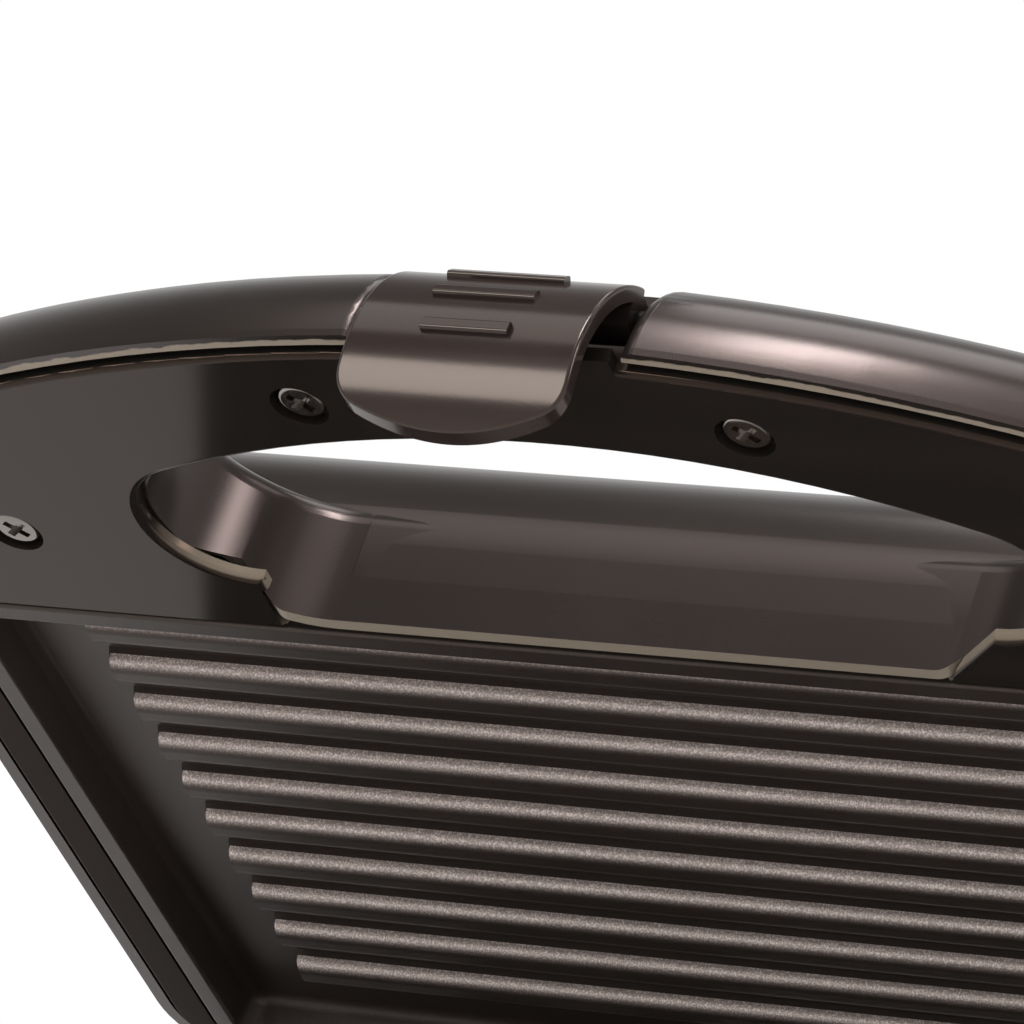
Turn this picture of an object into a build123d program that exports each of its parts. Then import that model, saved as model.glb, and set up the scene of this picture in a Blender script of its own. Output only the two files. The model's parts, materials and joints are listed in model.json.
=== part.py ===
from build123d import *
import os
from math import cos, hypot, radians, sin, tan

os.makedirs("parts", exist_ok=True)

# Two-slice panini press with its lid standing part open.
# Each half has its own frame: x across, y from the hinge axis towards the handle,
# z outwards from the parting plane. Sizes are millimetres and degrees.

# Stance
lid_open_angle = 44.0
foot_height = 6.0

# Housing of each half
half_width = 122.6
rear_wall_y = 7.5
handle_front_y = 214.8
handle_arc_r = 240.0
front_corner_r = 26.0
rear_corner_r = 18.0
wall = 2.2
rim_z = 1.7
band_depth = 21.3
band_edge_r = 18.5
dome_depth = 41.0
dome_edge_r = 27.0
dome_corner_r = 30.0
dome_draft = 1.0
dome_step = 1.6
dome_front_y = 144.2

# Finger hole and the raised tongue of the dome wall beside the plate
hole_apex_y = 192.1
hole_end_x = 56.3
hole_end_y = 166.0
hole_end_r = 13.5
well_inset = 0.6
well_edge_r = 4.0
well_rim_z = 3.0
well_low_rim_z = 6.0
well_ramp_start = 5.8
well_ramp_len = 7.0
tongue_z = 0.5
tongue_long_x = 56.0
tongue_short_x = 46.0
tongue_lean = 6.0
tongue_bend_r = 3.0

# Inner cover, the glossy frame round plate and handle
cover_face_z = 0.6
cover_t = 2.2
cover_inset = 3.4
cover_skirt_t = 1.6
cover_skirt_depth = 5.4
cover_edge_r = 0.8
cover_hole_edge_r = 1.2
cover_tab_w = 36.6
cover_tab_reach = 1.9
cover_seat_gap = 0.1
foot_slant = 10.0

# Cooking plates
plate_side_margin = 9.8
plate_d = 124.0
plate_corner_r = 7.0
plate_rim_z = 0.3
plate_flange_t = 3.0
plate_flange_w = 3.4
plate_rear_margin = 9.3
plate_gap = 0.5
plate_floor_z = 6.8
plate_floor_t = 3.0
plate_wall_draft = 12.0
plate_rim_w = 3.6
plate_rim_r = 0.6
plate_floor_r = 2.0
rib_count = 10
rib_front_margin = 11.5
rib_rear_margin = 18.0
rib_end_margin = 17.8
rib_crest_z = 3.6
rib_base_w = 6.4
rib_draft = 15.0
rib_crest_r = 2.2

# Heating element, reflector and their fixings
element_d = 6.4
element_gap = 0.1
element_w = 168.0
element_rear_y = 40.0
element_front_y = 118.0
element_bend_r = 18.0
element_mouth_w = 44.0
cold_pin_d = 3.0
cold_pin_len = 10.0
post_x = 60.0
post_rear_y = 56.0
post_front_y = 102.0
post_r = 4.0
reflector_gap = 1.0
reflector_t = 0.8
reflector_w = 196.0
reflector_d = 104.0
reflector_wall_h = 5.0
reflector_corner_r = 10.0

# Screws
screw_shank_d = 3.5
screw_clearance = 0.1
cover_screw_head_d = 7.4
cover_screw_head_h = 1.4
cover_screw_sink = 0.6
cover_screw_length = 11.0
cover_recess_d = 8.6
cover_boss_r = 5.6
cover_boss_depth = 3.6
cover_screw_inner = (33.3, 197.6)
cover_screw_outer = (92.9, 160.3)
shell_boss_r = 4.2
recess_w = 1.2
recess_len = 4.2
recess_depth = 0.9
plate_screw_head_d = 7.0
plate_screw_head_h = 2.0
plate_screw_length = 9.0

# Hinge
hinge_x = 62.0
knuckle_w = 24.0
ear_w = 8.0
hinge_side_gap = 0.4
knuckle_r = 6.0
hinge_pin_d = 5.0
hinge_clearance = 0.05
arm_depth = 11.0

# Latch clip, its pin and the catch on the base handle
latch_slot_w = 39.0
latch_cheek_t = 3.0
latch_slot_depth = 14.5
latch_block_depth = 18.0
clip_w = 34.0
clip_r = 21.2
clip_t = 2.3
clip_centre_y = 198.7
clip_centre_z = -2.3
clip_top_angle = 64.0
clip_end_sag = 4.0
clip_end_corner_r = 5.0
clip_edge_r = 0.5
clip_lip_h = 1.5
clip_lip_w = 16.0
clip_tip_h = 1.5
latch_gap = 0.4
latch_slot_edge_r = 2.0
clip_barrel_r = 3.4
clip_pin_d = 3.0
clip_pin_seat = 1.6
clip_pin_centre_r = 16.4
clip_pin_angle = 62.0
grip_angles = (45.0, 26.0, 6.5)
grip_lengths = (17.4, 15.0, 12.8)
grip_w = 2.1
grip_h = 0.9
grip_corner_r = 0.5
catch_recess = 4.2
catch_w = 30.0
catch_reach = 2.1
catch_z = 8.5
catch_t = 2.5

# Electrical pieces
thermostat_d = 17.0
thermostat_h = 7.0
thermostat_y = 79.0
terminal_w = 30.0
terminal_d = 18.0
terminal_h = 12.0
terminal_x = 62.0
terminal_y = 62.0
terminal_bay_d = 5.0
terminal_screw_d = 3.6
inlet_x = 0.0
inlet_z = 22.0
inlet_bush_d = 13.0
inlet_bore_d = 7.2
inlet_flange_d = 18.0
inlet_flange_t = 2.0
inlet_boss_d = 22.0
inlet_face_y = 9.0
inlet_collar_len = 7.0
lamp_pitch = 18.0
lamp_y = 104.0
lens_d = 6.0
lens_flange_d = 8.5
lens_flange_t = 1.2
lens_proud = 0.9
lens_gap = 0.1
lamp_d = 5.4
lamp_len = 11.0
lamp_cap_d = 4.0
lens_sleeve_len = 6.0

# Feet
foot_d = 18.0
foot_socket_depth = 1.0
foot_x = 80.0
foot_rear_y = 48.0
foot_front_y = 104.0
foot_edge_r = 2.0

# The dome's rear roundness is the rearmost point of the part when the lid stands open
tilt = radians(lid_open_angle)
dome_rear_y = rear_wall_y + dome_step
lean = radians(dome_draft)
dome_round_z = dome_depth - dome_edge_r
dome_round_y = dome_rear_y + (dome_round_z - rim_z) * tan(lean) + dome_edge_r / cos(lean)
rear_reach = dome_edge_r + dome_round_z * sin(tilt) - dome_round_y * cos(tilt)
hinge_y = (handle_front_y - rear_reach) / 2
hinge_z = dome_depth + foot_height
hinge_point = (0, hinge_y, hinge_z)

base_frame = Plane(hinge_point, x_dir=(1, 0, 0), z_dir=(0, 0, -1))
lid_frame = Plane(hinge_point, x_dir=(-1, 0, 0), z_dir=(0, sin(tilt), cos(tilt)))

plate_rear_y = rear_wall_y + plate_rear_margin
plate_front_y = plate_rear_y + plate_d
plate_w = 2 * (half_width - plate_side_margin)
plate_y = plate_rear_y + plate_d / 2
plate_back_z = plate_floor_z + plate_floor_t
rib_pitch = (plate_d - rib_front_margin - rib_rear_margin) / (rib_count - 1)
rib_y = plate_y + (rib_rear_margin - rib_front_margin) / 2
rib_length = plate_w - 2 * rib_end_margin
element_z = plate_back_z + element_gap + element_d / 2
reflector_z = element_z + element_d / 2 + reflector_gap
well_end_r = hole_end_r - well_inset
well_apex_y = hole_apex_y - well_inset
well_low_r = hole_end_y - dome_front_y
well_ramp_low_y = dome_front_y + well_ramp_start
well_ramp_high_y = well_ramp_low_y + well_ramp_len
post_points = [(x, y) for x in (-post_x, post_x) for y in (post_rear_y, post_front_y)]
cover_screw_points = [
    (side * x, y) for side in (-1, 1) for x, y in (cover_screw_inner, cover_screw_outer)
]
foot_points = [(x, y) for x in (-foot_x, foot_x) for y in (foot_rear_y, foot_front_y)]
lens_points = [(-lamp_pitch / 2, lamp_y), (lamp_pitch / 2, lamp_y)]
catch_front_y = handle_front_y - catch_recess + catch_reach
clip_lip_y = catch_front_y + latch_gap
clip_lip_z = -(catch_z + catch_t + latch_gap)
clip_end_z = clip_lip_z - clip_lip_h - clip_tip_h
clip_pin_y = clip_centre_y + clip_pin_centre_r * cos(radians(clip_pin_angle))
clip_pin_z = clip_centre_z + clip_pin_centre_r * sin(radians(clip_pin_angle))


def outwards(frame):
    """The axis that points out of a half's parting plane."""
    return Axis(frame.origin, frame.z_dir)


def faces_at(builder, frame, height):
    """Faces of a part in work whose middle lies at one height of a half."""
    return builder.faces().filter_by_position(outwards(frame), height - 0.01, height + 0.01)


def side_plane(frame, x=0.0):
    """Plane across a half, whose sketch axes are the half's y and z."""
    return Plane(frame.origin + frame.x_dir * x, x_dir=frame.y_dir, z_dir=frame.x_dir)


def front_plane(frame, y=0.0):
    """Upright plane at y, whose sketch axes are the half's x and z, facing the hinge."""
    return Plane(frame.origin + frame.y_dir * y, x_dir=frame.x_dir, z_dir=-frame.y_dir)


def body_plan(inset):
    """Plan of a half: straight rear and sides with an arched front."""
    with BuildSketch() as plan:
        with Locations((0, (rear_wall_y + handle_front_y) / 2)):
            Rectangle(2 * half_width, handle_front_y - rear_wall_y)
        with Locations((0, handle_front_y - handle_arc_r)):
            Circle(handle_arc_r, mode=Mode.INTERSECT)
        fillet(plan.vertices().group_by(Axis.Y)[-1], front_corner_r)
        fillet(plan.vertices().group_by(Axis.Y)[0], rear_corner_r)
        if inset:
            offset(amount=-inset)
    return plan.sketch


def dome_plan(inset):
    """Plan of the dome that stands over the plate."""
    with BuildSketch() as plan:
        with Locations((0, (dome_rear_y + dome_front_y) / 2)):
            RectangleRounded(
                2 * (half_width - dome_step - inset),
                dome_front_y - dome_rear_y - 2 * inset,
                dome_corner_r - inset,
            )
    return plan.sketch


def arch_plan(end_x, end_y, end_r, low_r, apex_y, bottom_y):
    """A shallow arch tangent to two round ends, whose lower quarters have their own radius,
    open between them down to bottom_y."""
    rise = apex_y - end_y
    arch_r = (end_x**2 + rise**2 - end_r**2) / (2 * (rise - end_r))
    arch_y = apex_y - arch_r
    reach = hypot(end_x, end_y - arch_y)
    touch_x = end_x * arch_r / reach
    touch_y = arch_y + (end_y - arch_y) * arch_r / reach
    far_x = end_x + end_r
    low_x = far_x - low_r
    low_y = end_y - low_r
    with BuildSketch() as plan:
        with BuildLine():
            ThreePointArc((-touch_x, touch_y), (0, apex_y), (touch_x, touch_y))
            RadiusArc((touch_x, touch_y), (far_x, end_y), end_r)
            RadiusArc((far_x, end_y), (low_x, low_y), low_r)
            Line((low_x, low_y), (-low_x, low_y))
            RadiusArc((-low_x, low_y), (-far_x, end_y), low_r)
            RadiusArc((-far_x, end_y), (-touch_x, touch_y), end_r)
        make_face()
        with Locations((0, (bottom_y + end_y) / 2)):
            Rectangle(2 * low_x, end_y - bottom_y)
    return plan.sketch


def hole_plan(growth, bottom_y):
    """Finger hole in the inner cover."""
    end_r = hole_end_r + growth
    return arch_plan(hole_end_x, hole_end_y, end_r, end_r, hole_apex_y + growth, bottom_y)


def well_plan(growth, bottom_y):
    """Finger well in the housing, whose ends run smoothly into the dome's front wall."""
    end_r = well_end_r + growth
    low_r = well_low_r + growth
    return arch_plan(hole_end_x, hole_end_y, end_r, low_r, well_apex_y + growth, bottom_y)


def tongue_profile(growth):
    """Outline in x and z of the tongue, the part of the dome wall that rises in the hole."""
    short_x = tongue_short_x + growth
    long_x = tongue_long_x + growth
    top_z = tongue_z - growth
    with BuildSketch() as profile:
        with BuildLine():
            Polyline(
                (-short_x - tongue_lean, well_low_rim_z + wall),
                (-short_x - tongue_lean, well_low_rim_z),
                (-short_x, top_z),
                (long_x, top_z),
                (long_x + tongue_lean, well_low_rim_z),
                (long_x + tongue_lean, well_low_rim_z + wall),
                close=True,
            )
        make_face()
        fillet(profile.vertices().group_by(Axis.Y)[0], tongue_bend_r)
    return profile.sketch


def plate_plan(growth):
    """Plan of the plate's flange, grown for the opening that takes it."""
    with BuildSketch() as plan:
        with Locations((0, plate_y)):
            RectangleRounded(plate_w + 2 * growth, plate_d + 2 * growth, plate_corner_r + growth)
    return plan.sketch


def raised(frame, plan, low, high, edge_r, draft=0.0):
    """A plan raised from one height to another with a round top edge."""
    with BuildPart() as form:
        with BuildSketch(frame.offset(low)):
            add(plan)
        extrude(amount=high - low, taper=draft)
        fillet(form.faces().sort_by(outwards(frame))[-1].edges(), edge_r)
    return form.part


def well_collar(frame):
    """Upper edge of the finger well: level round the ends, lower under the cover's feet,
    and raised to a tongue beside the plate."""
    with BuildPart() as relief:
        with BuildSketch(side_plane(frame)):
            with BuildLine():
                Polyline(
                    (dome_front_y - 2 * wall, tongue_z - wall),
                    (handle_front_y, tongue_z - wall),
                    (handle_front_y, well_rim_z),
                    (well_ramp_high_y, well_rim_z),
                    (well_ramp_low_y, well_low_rim_z),
                    (dome_front_y - 2 * wall, well_low_rim_z),
                    close=True,
                )
            make_face()
        extrude(amount=half_width, both=True)
        with BuildSketch(front_plane(frame, well_ramp_low_y)):
            add(tongue_profile(0))
        extrude(amount=well_ramp_low_y - dome_front_y + 2 * wall, mode=Mode.SUBTRACT)
    with BuildPart() as collar:
        with BuildSketch(frame.offset(tongue_z)):
            add(well_plan(wall, dome_front_y - wall))
            add(well_plan(0, dome_front_y), mode=Mode.SUBTRACT)
        extrude(amount=well_low_rim_z + wall - tongue_z)
        add(relief.part, mode=Mode.SUBTRACT)
    return collar.part


def housing(frame):
    """Moulded housing of one half: dome, handle band, finger well, bosses and latch block."""
    well_floor_y = dome_front_y - 2 * wall
    with BuildPart() as band:
        add(raised(frame, body_plan(0), rim_z, band_depth, band_edge_r))
        with BuildSketch(frame):
            add(well_plan(0, well_floor_y))
        extrude(amount=band_depth, mode=Mode.SUBTRACT)
        top_face = band.faces().sort_by(outwards(frame))[-1]
        fillet(top_face.inner_wires()[0].edges(), well_edge_r)
    with BuildPart() as band_cavity:
        add(raised(frame, body_plan(wall), 0, band_depth - wall, band_edge_r - wall))
        with BuildSketch(frame):
            add(well_plan(wall, well_floor_y - wall))
        extrude(amount=band_depth, mode=Mode.SUBTRACT)
        with BuildSketch(frame.offset(cover_face_z + cover_t + cover_seat_gap)):
            with Locations((0, handle_front_y - latch_block_depth)):
                Rectangle(
                    latch_slot_w + 2 * latch_cheek_t,
                    latch_block_depth + wall,
                    align=(Align.CENTER, Align.MIN),
                )
        extrude(amount=band_depth, mode=Mode.SUBTRACT)
        with BuildSketch(frame.offset(cover_face_z + cover_boss_depth + cover_seat_gap)):
            with Locations(*cover_screw_points):
                Circle(shell_boss_r)
        extrude(amount=band_depth, mode=Mode.SUBTRACT)
    with BuildPart() as shell:
        add(band.part)
        add(raised(frame, dome_plan(0), rim_z, dome_depth, dome_edge_r, dome_draft))
        add(band_cavity.part, mode=Mode.SUBTRACT)
        add(
            raised(frame, dome_plan(wall), 0, dome_depth - wall, dome_edge_r - wall, dome_draft),
            mode=Mode.SUBTRACT,
        )
        with BuildSketch(frame):
            add(well_plan(wall, well_floor_y - wall))
        extrude(amount=well_low_rim_z, mode=Mode.SUBTRACT)
        add(well_collar(frame))
        with BuildSketch(frame.offset(rim_z)):
            with Locations(*cover_screw_points):
                Circle(screw_shank_d / 2 + screw_clearance / 2)
        extrude(amount=cover_screw_length + cover_screw_sink, mode=Mode.SUBTRACT)
    return shell.part


def hinge_lugs(frame, spans):
    """Hinge barrels on arms that reach back from the rear wall, one per span of x."""
    with BuildPart() as lugs:
        for low, high in spans:
            with BuildSketch(side_plane(frame, low)):
                Circle(knuckle_r)
                with BuildLine():
                    Polyline(
                        (0, knuckle_r),
                        (0, 0),
                        (rear_wall_y + wall, rim_z),
                        (rear_wall_y + wall, arm_depth),
                        close=True,
                    )
                make_face()
                Circle(hinge_pin_d / 2 + hinge_clearance, mode=Mode.SUBTRACT)
            extrude(amount=high - low)
    return lugs.part


def inner_cover(frame):
    """Glossy inner frame: flat face, outer skirt, hole skirt, screw recesses and plate ledge."""
    foot_y = plate_front_y + plate_gap
    outer_skirt_z = cover_face_z + cover_skirt_depth
    with BuildPart() as cover:
        with BuildSketch(frame.offset(cover_face_z)):
            add(body_plan(cover_inset))
        extrude(amount=cover_skirt_depth)
        with BuildSketch(frame.offset(cover_face_z + cover_t)):
            add(body_plan(cover_inset + cover_skirt_t))
        extrude(amount=cover_skirt_depth, mode=Mode.SUBTRACT)
        with BuildSketch(frame.offset(cover_face_z + cover_t)):
            with Locations((0, handle_front_y - latch_block_depth - latch_gap)):
                Rectangle(
                    latch_slot_w + 2 * latch_cheek_t + 2 * latch_gap,
                    latch_block_depth,
                    align=(Align.CENTER, Align.MIN),
                )
        extrude(amount=cover_skirt_depth, mode=Mode.SUBTRACT)
        with BuildSketch(frame.offset(cover_face_z)):
            with Locations(*cover_screw_points):
                Circle(cover_boss_r)
        extrude(amount=cover_boss_depth)
        with BuildSketch(frame):
            add(plate_plan(cover_skirt_t + plate_gap))
        extrude(amount=plate_rim_z + plate_flange_t + cover_t)
        with BuildSketch(frame):
            add(plate_plan(plate_gap))
        extrude(amount=plate_rim_z + plate_flange_t, mode=Mode.SUBTRACT)
        with BuildSketch(frame):
            add(plate_plan(plate_gap - plate_flange_w))
        extrude(amount=2 * outer_skirt_z, mode=Mode.SUBTRACT)
        with BuildSketch(frame):
            Rectangle(4 * half_width, 4 * handle_front_y)
        extrude(amount=cover_face_z, mode=Mode.SUBTRACT)
        with BuildSketch(frame):
            add(hole_plan(0, hole_end_y - hole_end_r))
        extrude(amount=2 * outer_skirt_z, mode=Mode.SUBTRACT)
        with BuildSketch(frame):
            with BuildLine():
                Polyline(
                    (-tongue_short_x, foot_y - plate_flange_w),
                    (-tongue_short_x, foot_y),
                    (-tongue_short_x - foot_slant, hole_end_y - hole_end_r),
                    (-tongue_short_x - foot_slant, hole_end_y),
                    (tongue_long_x, hole_end_y),
                    (tongue_long_x, foot_y - plate_flange_w),
                    close=True,
                )
            make_face()
        extrude(amount=2 * outer_skirt_z, mode=Mode.SUBTRACT)
        hole_reach = hole_end_x + hole_end_r + plate_gap
        hole_edges = faces_at(cover, frame, cover_face_z).edges()
        hole_edges = hole_edges.filter_by_position(
            Axis(frame.origin, frame.y_dir), foot_y + plate_gap, hole_apex_y + plate_gap
        )
        hole_edges = hole_edges.filter_by_position(
            Axis(frame.origin, frame.x_dir), -hole_reach, hole_reach
        )
        fillet(hole_edges, cover_hole_edge_r)
        fillet(faces_at(cover, frame, cover_face_z)[0].outer_wire().edges(), cover_edge_r)
        with BuildSketch(front_plane(frame, well_ramp_low_y)):
            add(tongue_profile(latch_gap))
        extrude(amount=well_ramp_low_y - dome_front_y + wall + latch_gap, mode=Mode.SUBTRACT)
        with BuildSketch(frame):
            with Locations(*cover_screw_points):
                Circle(cover_recess_d / 2)
        extrude(amount=cover_face_z + cover_screw_sink + cover_screw_head_h, mode=Mode.SUBTRACT)
        with BuildSketch(frame):
            with Locations(*cover_screw_points):
                Circle(screw_shank_d / 2 + screw_clearance)
        extrude(amount=2 * cover_boss_depth, mode=Mode.SUBTRACT)
    return cover.part


def cooking_plate(frame):
    """Cast tray with a flange, drafted walls, tapered ribs and fixing posts."""
    with BuildPart() as plate:
        with BuildSketch(frame.offset(plate_rim_z)):
            add(plate_plan(0))
        extrude(amount=plate_flange_t)
        with BuildSketch(frame.offset(plate_rim_z)):
            add(plate_plan(-plate_flange_w))
        extrude(amount=plate_back_z - plate_rim_z)
        with BuildSketch(frame.offset(plate_rim_z)):
            add(plate_plan(-plate_rim_w))
        extrude(amount=plate_floor_z - plate_rim_z, taper=plate_wall_draft, mode=Mode.SUBTRACT)
        fillet(faces_at(plate, frame, plate_floor_z).edges(), plate_floor_r)
        with BuildSketch(frame.offset(plate_floor_z)):
            with Locations((0, rib_y)):
                with GridLocations(0, rib_pitch, 1, rib_count):
                    Rectangle(rib_length, rib_base_w)
        extrude(amount=rib_crest_z - plate_floor_z, taper=rib_draft)
        fillet(faces_at(plate, frame, rib_crest_z).edges().filter_by(Axis.X), rib_crest_r)
        fillet(faces_at(plate, frame, plate_rim_z).edges(), plate_rim_r)
        with BuildSketch(frame.offset(plate_back_z)):
            with Locations(*post_points):
                Circle(post_r)
        extrude(amount=reflector_z - plate_back_z)
        with BuildSketch(frame.offset(reflector_z)):
            with Locations(*post_points):
                Circle(screw_shank_d / 2 + screw_clearance / 2)
        extrude(amount=-plate_screw_length, mode=Mode.SUBTRACT)
    return plate.part


def heating_element(frame):
    """Tubular element bent round the plate, with a cold pin at each end."""
    half = element_w / 2
    mouth = element_mouth_w / 2
    with BuildPart() as element:
        with BuildLine(frame.offset(element_z)) as run:
            FilletPolyline(
                (mouth, element_rear_y),
                (half, element_rear_y),
                (half, element_front_y),
                (-half, element_front_y),
                (-half, element_rear_y),
                (-mouth, element_rear_y),
                radius=element_bend_r,
            )
        with BuildSketch(Plane(run.line @ 0, z_dir=run.line % 0)):
            Circle(element_d / 2)
        sweep()
        for end in (-1, 1):
            with BuildSketch(Plane(frame.from_local_coords((end * mouth, element_rear_y, element_z)),
                                   z_dir=frame.x_dir * -end)):
                Circle(cold_pin_d / 2)
            extrude(amount=cold_pin_len)
    return element.part


def reflector(frame):
    """Pressed heat reflector, a shallow pan behind the element."""
    with BuildPart() as pan:
        with BuildSketch(frame.offset(reflector_z - reflector_wall_h)):
            with Locations((0, plate_y)):
                RectangleRounded(reflector_w, reflector_d, reflector_corner_r)
        extrude(amount=reflector_wall_h + reflector_t)
        with BuildSketch(frame.offset(reflector_z - reflector_wall_h)):
            with Locations((0, plate_y)):
                RectangleRounded(
                    reflector_w - 2 * reflector_t,
                    reflector_d - 2 * reflector_t,
                    reflector_corner_r - reflector_t,
                )
        extrude(amount=reflector_wall_h, mode=Mode.SUBTRACT)
        with BuildSketch(frame.offset(reflector_z)):
            with Locations(*post_points):
                Circle(screw_shank_d / 2 + screw_clearance)
        extrude(amount=reflector_t, mode=Mode.SUBTRACT)
    return pan.part


def screws(frame, points, head_z, head_d, head_h, length):
    """A group of cross-recessed pan-head screws whose heads face the parting plane."""
    with BuildPart() as group:
        with BuildSketch(frame.offset(head_z + head_h)):
            with Locations(*points):
                Circle(head_d / 2)
        extrude(amount=-head_h)
        fillet(group.faces().sort_by(outwards(frame))[: len(points)].edges(), 0.6 * head_h)
        with BuildSketch(frame.offset(head_z)):
            with Locations(*points):
                Rectangle(recess_len, recess_w, rotation=45)
                Rectangle(recess_len, recess_w, rotation=-45)
        extrude(amount=recess_depth, mode=Mode.SUBTRACT)
        with BuildSketch(frame.offset(head_z + head_h)):
            with Locations(*points):
                Circle(screw_shank_d / 2)
        extrude(amount=length)
    return group.part


def turned(frame):
    """The same half seen from outside, so that screw heads face outwards."""
    return Plane(frame.origin, x_dir=-frame.x_dir, z_dir=-frame.z_dir)


def lens(point):
    """Round indicator lens with a flange inside the lid and a sleeve for its lamp."""
    seat = dome_depth - wall
    with BuildPart() as part:
        with BuildSketch(lid_frame.offset(seat)):
            with Locations(point):
                Circle(lens_flange_d / 2)
        extrude(amount=-lens_flange_t - lens_sleeve_len)
        with BuildSketch(lid_frame.offset(seat)):
            with Locations(point):
                Circle(lens_d / 2)
        extrude(amount=wall + lens_proud)
        fillet(part.edges().sort_by(outwards(lid_frame))[-1], lens_proud * 0.9)
        with BuildSketch(lid_frame.offset(seat - lens_flange_t)):
            with Locations(point):
                Circle(lamp_d / 2 + hinge_clearance)
        extrude(amount=-lens_sleeve_len, mode=Mode.SUBTRACT)
    return part.part


knuckle_half = knuckle_w / 2
ear_inner = knuckle_half + hinge_side_gap
ear_outer = ear_inner + ear_w
knuckle_spans = [(side * hinge_x - knuckle_half, side * hinge_x + knuckle_half) for side in (-1, 1)]
ear_spans = [
    (side * hinge_x + low, side * hinge_x + high)
    for side in (-1, 1)
    for low, high in ((-ear_outer, -ear_inner), (ear_inner, ear_outer))
]

# Base housing: hinge ears, latch catch, cord inlet hole and foot sockets
with BuildPart() as base_shell:
    add(housing(base_frame))
    add(hinge_lugs(base_frame, ear_spans))
    with BuildSketch(base_frame):
        with Locations((0, handle_front_y - catch_recess)):
            Rectangle(latch_slot_w, 2 * catch_recess, align=(Align.CENTER, Align.MIN))
    extrude(amount=band_depth, mode=Mode.SUBTRACT)
    with BuildSketch(base_frame.offset(catch_z)):
        with Locations((0, handle_front_y - catch_recess - wall)):
            Rectangle(catch_w, catch_reach + wall, align=(Align.CENTER, Align.MIN))
    extrude(amount=catch_t)
    with BuildSketch(front_plane(base_frame, inlet_face_y)):
        with Locations((inlet_x, inlet_z)):
            Circle(inlet_boss_d / 2)
    extrude(amount=-inlet_collar_len)
    with BuildSketch(front_plane(base_frame, inlet_face_y)):
        with Locations((inlet_x, inlet_z)):
            Circle(inlet_bush_d / 2 + screw_clearance)
    extrude(amount=inlet_collar_len, both=True, mode=Mode.SUBTRACT)
    with BuildSketch(base_frame.offset(dome_depth - foot_socket_depth)):
        with Locations(*foot_points):
            Circle(foot_d / 2 + screw_clearance)
    extrude(amount=foot_socket_depth, mode=Mode.SUBTRACT)
base_shell.part.label = "base_shell"
export_step(base_shell.part, "parts/base_shell.step")

# Lid housing: hinge knuckles, latch slot with the pin's seats, and lens holes
with BuildPart() as lid_shell:
    add(housing(lid_frame))
    add(hinge_lugs(lid_frame, knuckle_spans))
    with BuildSketch(lid_frame):
        with Locations((0, handle_front_y - latch_slot_depth)):
            Rectangle(latch_slot_w, 2 * latch_slot_depth, align=(Align.CENTER, Align.MIN))
    extrude(amount=band_depth, mode=Mode.SUBTRACT)
    for side in (-1, 1):
        mouth = lid_shell.edges().filter_by_position(
            Axis(lid_frame.origin, lid_frame.x_dir),
            side * latch_slot_w / 2 - 0.01,
            side * latch_slot_w / 2 + 0.01,
        )
        fillet(mouth.filter_by(GeomType.BSPLINE).sort_by(SortBy.LENGTH)[-1], latch_slot_edge_r)
    with BuildSketch(side_plane(lid_frame)):
        with Locations((clip_pin_y, clip_pin_z)):
            Circle(clip_pin_d / 2 + hinge_clearance)
    extrude(amount=latch_slot_w / 2 + clip_pin_seat + hinge_clearance, both=True, mode=Mode.SUBTRACT)
    with BuildSketch(lid_frame.offset(dome_depth - 2 * wall)):
        with Locations(*lens_points):
            Circle(lens_d / 2 + lens_gap)
    extrude(amount=4 * wall, mode=Mode.SUBTRACT)
lid_shell.part.label = "lid_shell"
export_step(lid_shell.part, "parts/lid_shell.step")

# Inner covers
with BuildPart() as base_inner_cover:
    add(inner_cover(base_frame))
base_inner_cover.part.label = "base_inner_cover"
export_step(base_inner_cover.part, "parts/base_inner_cover.step")

with BuildPart() as lid_inner_cover:
    add(inner_cover(lid_frame))
    with BuildSketch(lid_frame.offset(cover_face_z)):
        with Locations((0, handle_front_y - cover_inset + cover_tab_reach)):
            Rectangle(cover_tab_w, 3 * cover_tab_reach, align=(Align.CENTER, Align.MAX))
    extrude(amount=cover_t)
lid_inner_cover.part.label = "lid_inner_cover"
export_step(lid_inner_cover.part, "parts/lid_inner_cover.step")

# Ribbed plates
with BuildPart() as lower_plate:
    add(cooking_plate(base_frame))
lower_plate.part.label = "lower_plate"
export_step(lower_plate.part, "parts/lower_plate.step")

with BuildPart() as upper_plate:
    add(cooking_plate(lid_frame))
upper_plate.part.label = "upper_plate"
export_step(upper_plate.part, "parts/upper_plate.step")

# Heating elements and reflectors
with BuildPart() as lower_element:
    add(heating_element(base_frame))
lower_element.part.label = "lower_element"
export_step(lower_element.part, "parts/lower_element.step")

with BuildPart() as upper_element:
    add(heating_element(lid_frame))
upper_element.part.label = "upper_element"
export_step(upper_element.part, "parts/upper_element.step")

with BuildPart() as lower_reflector:
    add(reflector(base_frame))
lower_reflector.part.label = "lower_reflector"
export_step(lower_reflector.part, "parts/lower_reflector.step")

with BuildPart() as upper_reflector:
    add(reflector(lid_frame))
upper_reflector.part.label = "upper_reflector"
export_step(upper_reflector.part, "parts/upper_reflector.step")

# Screws of the inner covers, and of the reflectors into the plates' posts
cover_head_z = cover_face_z + cover_screw_sink
with BuildPart() as base_cover_screws:
    add(screws(base_frame, cover_screw_points, cover_head_z,
               cover_screw_head_d, cover_screw_head_h, cover_screw_length - cover_screw_head_h))
base_cover_screws.part.label = "base_cover_screws"
export_step(base_cover_screws.part, "parts/base_cover_screws.step")

with BuildPart() as lid_cover_screws:
    add(screws(lid_frame, cover_screw_points, cover_head_z,
               cover_screw_head_d, cover_screw_head_h, cover_screw_length - cover_screw_head_h))
lid_cover_screws.part.label = "lid_cover_screws"
export_step(lid_cover_screws.part, "parts/lid_cover_screws.step")

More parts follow.
